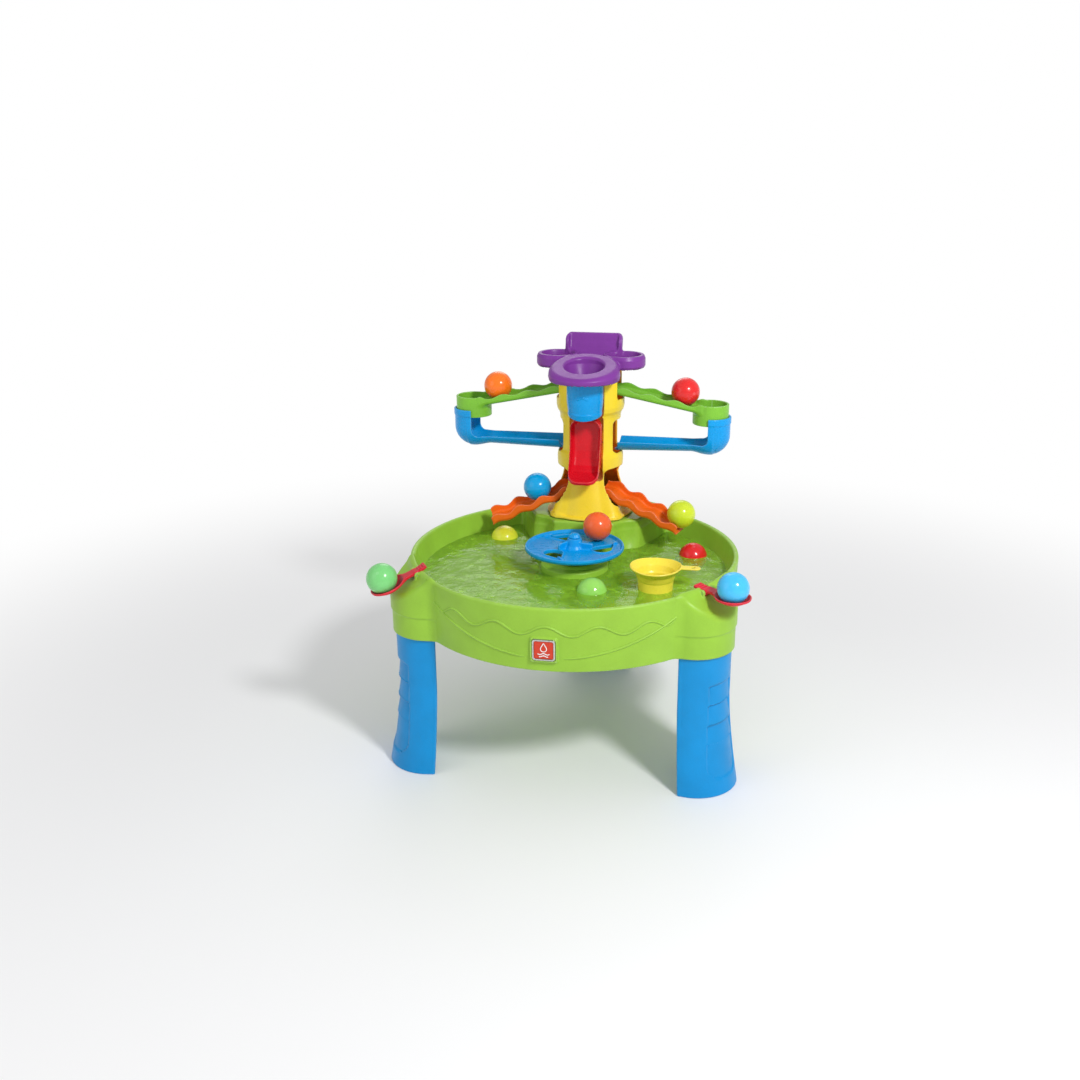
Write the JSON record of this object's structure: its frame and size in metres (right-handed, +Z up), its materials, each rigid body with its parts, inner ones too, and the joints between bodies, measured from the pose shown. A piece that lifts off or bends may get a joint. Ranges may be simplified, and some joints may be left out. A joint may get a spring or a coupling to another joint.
{
  "type": "sand and water table",
  "caption": "Round sand and water play table on three curved legs, with a ball tower, looping ramps, a spinning dish, side paddles, a pour cup and play balls.",
  "frame": {"origin": "centre of the whole table's bounding box, on the ground; the basin's axis passes close to it", "axes": "+Z up, -Y towards the front with the badge, +X to the right when facing the front"},
  "size_m": [0.8515, 0.852, 0.943],
  "materials": {
    "lime_plastic": "satin",
    "badge_red": "satin",
    "badge_silver": "satin",
    "toy_blue_plastic": "satin",
    "leg_blue_plastic": "satin",
    "screw_steel": "brushed",
    "yellow_plastic": "satin",
    "amber_plastic": "satin",
    "purple_plastic": "satin",
    "red_plastic": "satin",
    "leaf_plastic": "satin",
    "orange_plastic": "satin",
    "paddle_red_plastic": "satin",
    "cup_yellow_plastic": "satin",
    "ball_paddle_left_skin": "satin",
    "ball_paddle_right_skin": "satin",
    "ball_spinner_skin": "satin",
    "ball_basin_back_skin": "satin",
    "ball_basin_front_skin": "satin",
    "ball_basin_right_skin": "satin",
    "ball_upper_left_skin": "satin",
    "ball_upper_right_skin": "satin",
    "ball_lower_left_skin": "satin",
    "ball_lower_right_skin": "satin"
  },
  "bodies": {
    "table": {"basin": "lime_plastic", "badge": "badge_red", "badge_frame": "badge_silver", "leg_front_left": "leg_blue_plastic", "leg_front_right": "leg_blue_plastic", "leg_rear": "leg_blue_plastic", "leg_screws": "screw_steel", "tower_front": "yellow_plastic", "tower_back": "yellow_plastic", "tower_screws": "screw_steel", "base_screws": "screw_steel", "ball_guide": "amber_plastic", "top_tray": "purple_plastic", "tray_screws": "screw_steel", "drop_cup": "toy_blue_plastic", "front_slide": "red_plastic", "upper_ramp_left": "leaf_plastic", "upper_ramp_right": "leaf_plastic", "return_chute_left": "toy_blue_plastic", "return_chute_right": "toy_blue_plastic", "lower_ramp_left": "orange_plastic", "lower_ramp_right": "orange_plastic", "spinner_post": "toy_blue_plastic", "spinner_cap": "toy_blue_plastic", "paddle_pin_left": "screw_steel", "paddle_pin_right": "screw_steel"},
    "drain_plug": {"drain_plug": "toy_blue_plastic"},
    "pour_cup": {"pour_cup": "cup_yellow_plastic"},
    "spinner": {"spinner": "toy_blue_plastic"},
    "paddle_left": {"paddle_left": "paddle_red_plastic"},
    "paddle_right": {"paddle_right": "paddle_red_plastic"},
    "ball_paddle_left": {"ball_paddle_left": "ball_paddle_left_skin"},
    "ball_paddle_right": {"ball_paddle_right": "ball_paddle_right_skin"},
    "ball_spinner": {"ball_spinner": "ball_spinner_skin"},
    "ball_basin_back": {"ball_basin_back": "ball_basin_back_skin"},
    "ball_basin_front": {"ball_basin_front": "ball_basin_front_skin"},
    "ball_basin_right": {"ball_basin_right": "ball_basin_right_skin"},
    "ball_upper_left": {"ball_upper_left": "ball_upper_left_skin"},
    "ball_upper_right": {"ball_upper_right": "ball_upper_right_skin"},
    "ball_lower_left": {"ball_lower_left": "ball_lower_left_skin"},
    "ball_lower_right": {"ball_lower_right": "ball_lower_right_skin"}
  },
  "joints": [
    {"name": "spinner_spin", "type": "hinge", "parent": "table", "child": "spinner", "pos_m": [0.00181, -0.038, 0.48], "axis": [0, 0, 1], "continuous": true},
    {"name": "paddle_left_tilt", "type": "hinge", "parent": "table", "child": "paddle_left", "pos_m": [-0.32611, -0.25095, 0.472], "axis": [-0.5446, 0.8387, 0], "range_deg": [-3, 42]},
    {"name": "paddle_right_tilt", "type": "hinge", "parent": "table", "child": "paddle_right", "pos_m": [0.32973, -0.25095, 0.472], "axis": [-0.5446, -0.8387, 0], "range_deg": [-22, 22]},
    {"name": "drain_plug_pull", "type": "slide", "parent": "table", "child": "drain_plug", "axis": [0, 0, 1], "range_m": [0, 0.04]},
    {"name": "pour_cup_lift", "type": "slide", "parent": "table", "child": "pour_cup", "axis": [0, 0, 1], "range_m": [0, 0.25]},
    {"name": "ball_paddle_left_lift", "type": "slide", "parent": "paddle_left", "child": "ball_paddle_left", "axis": [0, 0, 1], "range_m": [0, 0.06]},
    {"name": "ball_paddle_right_lift", "type": "slide", "parent": "paddle_right", "child": "ball_paddle_right", "axis": [0, 0, 1], "range_m": [0, 0.06]},
    {"name": "ball_spinner_lift", "type": "slide", "parent": "spinner", "child": "ball_spinner", "axis": [0, 0, 1], "range_m": [0, 0.04]},
    {"name": "ball_basin_back_roll", "type": "slide", "parent": "table", "child": "ball_basin_back", "axis": [0, -1, 0], "range_m": [0, 0.12]},
    {"name": "ball_basin_front_lift", "type": "slide", "parent": "table", "child": "ball_basin_front", "axis": [0, 0, 1], "range_m": [0, 0.2]},
    {"name": "ball_basin_right_lift", "type": "slide", "parent": "table", "child": "ball_basin_right", "axis": [0, 0, 1], "range_m": [0, 0.03]},
    {"name": "ball_upper_left_roll", "type": "slide", "parent": "table", "child": "ball_upper_left", "axis": [-0.9806, 0, -0.1961], "range_m": [-0.06, 0]},
    {"name": "ball_upper_right_roll", "type": "slide", "parent": "table", "child": "ball_upper_right", "axis": [0.9806, 0, -0.1961], "range_m": [-0.06, 0]},
    {"name": "ball_lower_left_roll", "type": "slide", "parent": "table", "child": "ball_lower_left", "axis": [-0.9018, -0.2416, -0.3584], "range_m": [-0.02, 0]},
    {"name": "ball_lower_right_roll", "type": "slide", "parent": "table", "child": "ball_lower_right", "axis": [0.9018, -0.2416, -0.3584], "range_m": [-0.08, 0]}
  ]
}
